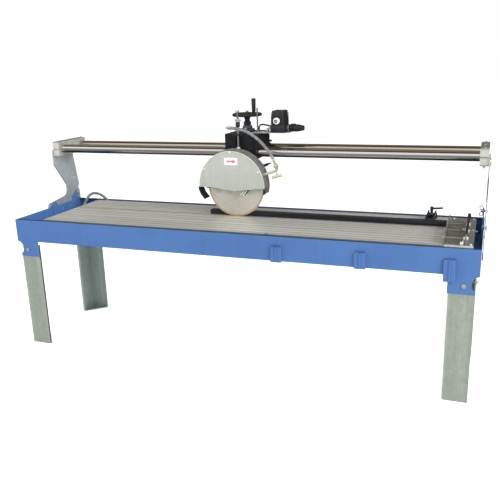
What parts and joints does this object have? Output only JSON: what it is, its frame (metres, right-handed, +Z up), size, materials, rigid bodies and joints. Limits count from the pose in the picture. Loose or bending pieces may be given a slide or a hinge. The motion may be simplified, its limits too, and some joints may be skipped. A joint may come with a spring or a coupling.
{
  "type": "bridge wet saw",
  "caption": "Wet bridge saw for tiles and slabs: blue water tray on folding legs, tilting twin-rail bridge and a sliding head with a guarded diamond blade.",
  "frame": {"origin": "On the floor, under the middle of the object's bounding box.", "axes": "+X along the tray and the cut, towards the cross stop; +Y from the operator's side to the rails; +Z up."},
  "size_m": [2.7178, 0.7606, 1.4828],
  "materials": {
    "blue_paint": "satin powder coat",
    "galvanised": "hot-dip galvanised, dull",
    "aluminium": "extruded or cast, satin",
    "steel": "ground and chromed",
    "zinc": "bright zinc plate",
    "black_paint": "satin black",
    "black_plastic": "moulded",
    "rubber": "matt",
    "blue_grey": "moulded",
    "motor_grey": "painted casting",
    "diamond": "steel core with a sintered diamond rim",
    "hose": "translucent reinforced PVC",
    "nickel": "nickel-plated brass",
    "cream": "moulded",
    "white": "moulded"
  },
  "bodies": {
    "stand": {"tray": "blue_paint", "tilt_lug_left": "blue_paint", "tilt_lug_right": "blue_paint", "cross_member_left": "galvanised", "cross_member_centre": "galvanised", "cross_member_right": "galvanised", "plank_1": "aluminium", "plank_2": "aluminium", "plank_3": "aluminium", "plank_4": "aluminium", "pump": "black_plastic", "pump_hose": "hose", "stop_bracket": "galvanised"},
    "bridge": {"rail_front": "steel", "rail_rear": "steel", "clamp_block_left_lower": "aluminium", "clamp_block_left_upper": "aluminium", "clamp_block_right_lower": "aluminium", "clamp_block_right_upper": "aluminium", "end_plate_left": "galvanised", "end_plate_right": "galvanised"},
    "carriage": {"carriage_box": "black_paint", "screw_bearing": "blue_grey", "switch_plate": "galvanised", "switch_box": "black_plastic", "power_inlet": "rubber", "switch_cable": "rubber", "limit_rod": "steel"},
    "head": {"head_plate": "black_paint", "motor": "motor_grey", "guard_cover": "galvanised", "guard_body": "galvanised", "splash_flap": "rubber", "depth_rod": "steel", "water_valve": "nickel", "water_hose": "hose"},
    "spindle": {"spindle": "steel", "blade": "diamond", "blade_nut": "zinc"},
    "fence": {"fence_bar": "black_paint", "fence_bracket": "black_paint"},
    "roller_front": {"roller_front": "zinc"},
    "roller_rear": {"roller_rear": "zinc"},
    "handwheel": {"handwheel": "black_plastic"},
    "crank_grip": {"crank_grip": "black_plastic"},
    "switch_button": {"switch_button": "white"},
    "depth_collar": {"depth_collar": "zinc"},
    "valve_lever": {"valve_lever": "cream"},
    "cross_stop": {"cross_stop": "galvanised"},
    "clamp_lever": {"clamp_lever": "black_plastic"},
    "lock_bolt_left": {"lock_bolt_left": "zinc"},
    "lock_bolt_right": {"lock_bolt_right": "zinc"},
    "leg_front_left": {"leg_front_left": "galvanised"},
    "leg_screw_front_left": {"leg_screw_front_left": "zinc"},
    "leg_front_right": {"leg_front_right": "galvanised"},
    "leg_screw_front_right": {"leg_screw_front_right": "zinc"},
    "leg_back_left": {"leg_back_left": "galvanised"},
    "leg_screw_back_left": {"leg_screw_back_left": "zinc"},
    "leg_back_right": {"leg_back_right": "galvanised"},
    "leg_screw_back_right": {"leg_screw_back_right": "zinc"}
  },
  "joints": [
    {"name": "bridge_tilt", "type": "hinge", "parent": "stand", "child": "bridge", "pos_m": [0, 0.02082, 0.81702], "axis": [1, 0, 0], "range_deg": [0, 45]},
    {"name": "carriage_slide", "type": "slide", "parent": "bridge", "child": "carriage", "axis": [1, 0, 0], "range_m": [-1.0753, 1.03313]},
    {"name": "roller_front_spin", "type": "hinge", "parent": "carriage", "child": "roller_front", "pos_m": [-0.03374, 0.12308, 1.2192], "axis": [0, 1, 0], "continuous": true},
    {"name": "roller_rear_spin", "type": "hinge", "parent": "carriage", "child": "roller_rear", "pos_m": [-0.03374, 0.33603, 1.13592], "axis": [0, 1, 0], "continuous": true},
    {"name": "head_slide", "type": "slide", "parent": "carriage", "child": "head", "axis": [0, 0, 1], "range_m": [-0.01898, 0.04744]},
    {"name": "handwheel_turn", "type": "hinge", "parent": "carriage", "child": "handwheel", "pos_m": [-0.03374, 0.22956, 1.3863], "axis": [0, 0, 1], "range_deg": [-690, 1720]},
    {"name": "crank_grip_spin", "type": "hinge", "parent": "handwheel", "child": "crank_grip", "pos_m": [0.02425, 0.18739, 1.43901], "axis": [0, 0, 1], "continuous": true},
    {"name": "button_press", "type": "slide", "parent": "carriage", "child": "switch_button", "axis": [0, 1, 0], "range_m": [0, 0.00422], "stiffness_N_per_m": 600},
    {"name": "depth_collar_slide", "type": "slide", "parent": "head", "child": "depth_collar", "axis": [0, 0, 1], "range_m": [-0.01898, 0.03479]},
    {"name": "valve_turn", "type": "hinge", "parent": "head", "child": "valve_lever", "pos_m": [0.21506, 0.01766, 1.07003], "axis": [0, 0, 1], "range_deg": [0, 90]},
    {"name": "blade_spin", "type": "hinge", "parent": "head", "child": "spindle", "pos_m": [-0.03795, 0.02082, 0.98569], "axis": [0, 1, 0], "continuous": true},
    {"name": "cross_stop_slide", "type": "slide", "parent": "stand", "child": "cross_stop", "axis": [1, 0, 0], "range_m": [0, 0.04744]},
    {"name": "fence_slide", "type": "slide", "parent": "stand", "child": "fence", "axis": [0, 1, 0], "range_m": [0, 0.08434]},
    {"name": "clamp_turn", "type": "hinge", "parent": "fence", "child": "clamp_lever", "pos_m": [1.06898, 0.13151, 0.88027], "axis": [0, 0, 1], "range_deg": [0, 120]},
    {"name": "lock_bolt_left_turn", "type": "hinge", "parent": "stand", "child": "lock_bolt_left", "pos_m": [-1.34413, 0.27699, 0.85339], "axis": [1, 0, 0], "continuous": true},
    {"name": "lock_bolt_right_turn", "type": "hinge", "parent": "stand", "child": "lock_bolt_right", "pos_m": [1.34413, 0.27699, 0.85339], "axis": [1, 0, 0], "continuous": true},
    {"name": "leg_front_left_fold", "type": "hinge", "parent": "stand", "child": "leg_front_left", "pos_m": [-1.27349, -0.36397, 0.62093], "axis": [0, -1, 0], "range_deg": [0, 90]},
    {"name": "leg_screw_front_left_turn", "type": "hinge", "parent": "leg_front_left", "child": "leg_screw_front_left", "pos_m": [-1.32304, -0.3218, 0.63253], "axis": [1, 0, 0], "continuous": true},
    {"name": "leg_front_right_fold", "type": "hinge", "parent": "stand", "child": "leg_front_right", "pos_m": [1.27349, -0.36397, 0.62093], "axis": [0, 1, 0], "range_deg": [0, 90]},
    {"name": "leg_screw_front_right_turn", "type": "hinge", "parent": "leg_front_right", "child": "leg_screw_front_right", "pos_m": [1.32304, -0.3218, 0.63253], "axis": [1, 0, 0], "continuous": true},
    {"name": "leg_back_left_fold", "type": "hinge", "parent": "stand", "child": "leg_back_left", "pos_m": [-1.27349, 0.32127, 0.62093], "axis": [0, -1, 0], "range_deg": [0, 90]},
    {"name": "leg_screw_back_left_turn", "type": "hinge", "parent": "leg_back_left", "child": "leg_screw_back_left", "pos_m": [-1.32304, 0.2791, 0.63253], "axis": [1, 0, 0], "continuous": true},
    {"name": "leg_back_right_fold", "type": "hinge", "parent": "stand", "child": "leg_back_right", "pos_m": [1.27349, 0.32127, 0.62093], "axis": [0, 1, 0], "range_deg": [0, 90]},
    {"name": "leg_screw_back_right_turn", "type": "hinge", "parent": "leg_back_right", "child": "leg_screw_back_right", "pos_m": [1.32304, 0.2791, 0.63253], "axis": [1, 0, 0], "continuous": true}
  ],
  "couplings": [
    {"joint": "roller_front_spin", "follows": "carriage_slide", "rad_per_m": 67.755},
    {"joint": "roller_rear_spin", "follows": "carriage_slide", "rad_per_m": -67.755},
    {"joint": "handwheel_turn", "follows": "head_slide", "rad_per_m": 628.32}
  ]
}
